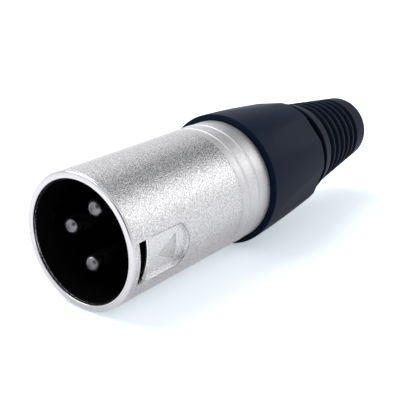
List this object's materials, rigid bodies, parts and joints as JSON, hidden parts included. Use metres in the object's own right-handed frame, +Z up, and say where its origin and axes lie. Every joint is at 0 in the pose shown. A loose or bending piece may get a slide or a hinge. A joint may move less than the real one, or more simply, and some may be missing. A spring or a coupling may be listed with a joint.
{
  "type": "xlr plug",
  "caption": "Cable plug for audio leads: round satin metal shell with recessed contact pins and a latch window, screw-on black bushing and ribbed rubber strain relief.",
  "frame": {"origin": "centre of the mouth, on the plug's axis, in the plane of the shell's rim", "axes": "+Y along the plug's axis from the mouth to the tail, +Z up as the plug lies, +X to the right seen from the mouth"},
  "size_m": [0.0208, 0.0691, 0.0208],
  "materials": {
    "satin_nickel": "fine blasted nickel plate, polished at the rim",
    "black_insert": "moulded, matt black",
    "silvered_contact": "silver plate, turned and polished",
    "tab_brass": "bright sheet brass",
    "chuck_plastic": "moulded, off-white",
    "black_bushing": "moulded, black with a slight sheen",
    "black_rubber": "moulded soft rubber, matt black"
  },
  "bodies": {
    "plug": {"shell": "satin_nickel", "insert": "black_insert", "pin_1": "silvered_contact", "pin_2": "silvered_contact", "pin_3": "silvered_contact", "ground_tab": "tab_brass", "chuck": "chuck_plastic"},
    "boot": {"boot": "black_rubber"},
    "bushing": {"bushing": "black_bushing"}
  },
  "joints": [
    {"name": "bushing_travel", "type": "slide", "parent": "plug", "child": "boot", "axis": [0, 1, 0], "range_m": [0, 0.0075]},
    {"name": "bushing_turn", "type": "hinge", "parent": "boot", "child": "bushing", "pos_m": [0, 0.03, 0], "axis": [0, 1, 0], "range_deg": [0, 1800]}
  ],
  "couplings": [
    {"joint": "bushing_travel", "follows": "bushing_turn", "m_per_rad": 0.00023873}
  ]
}
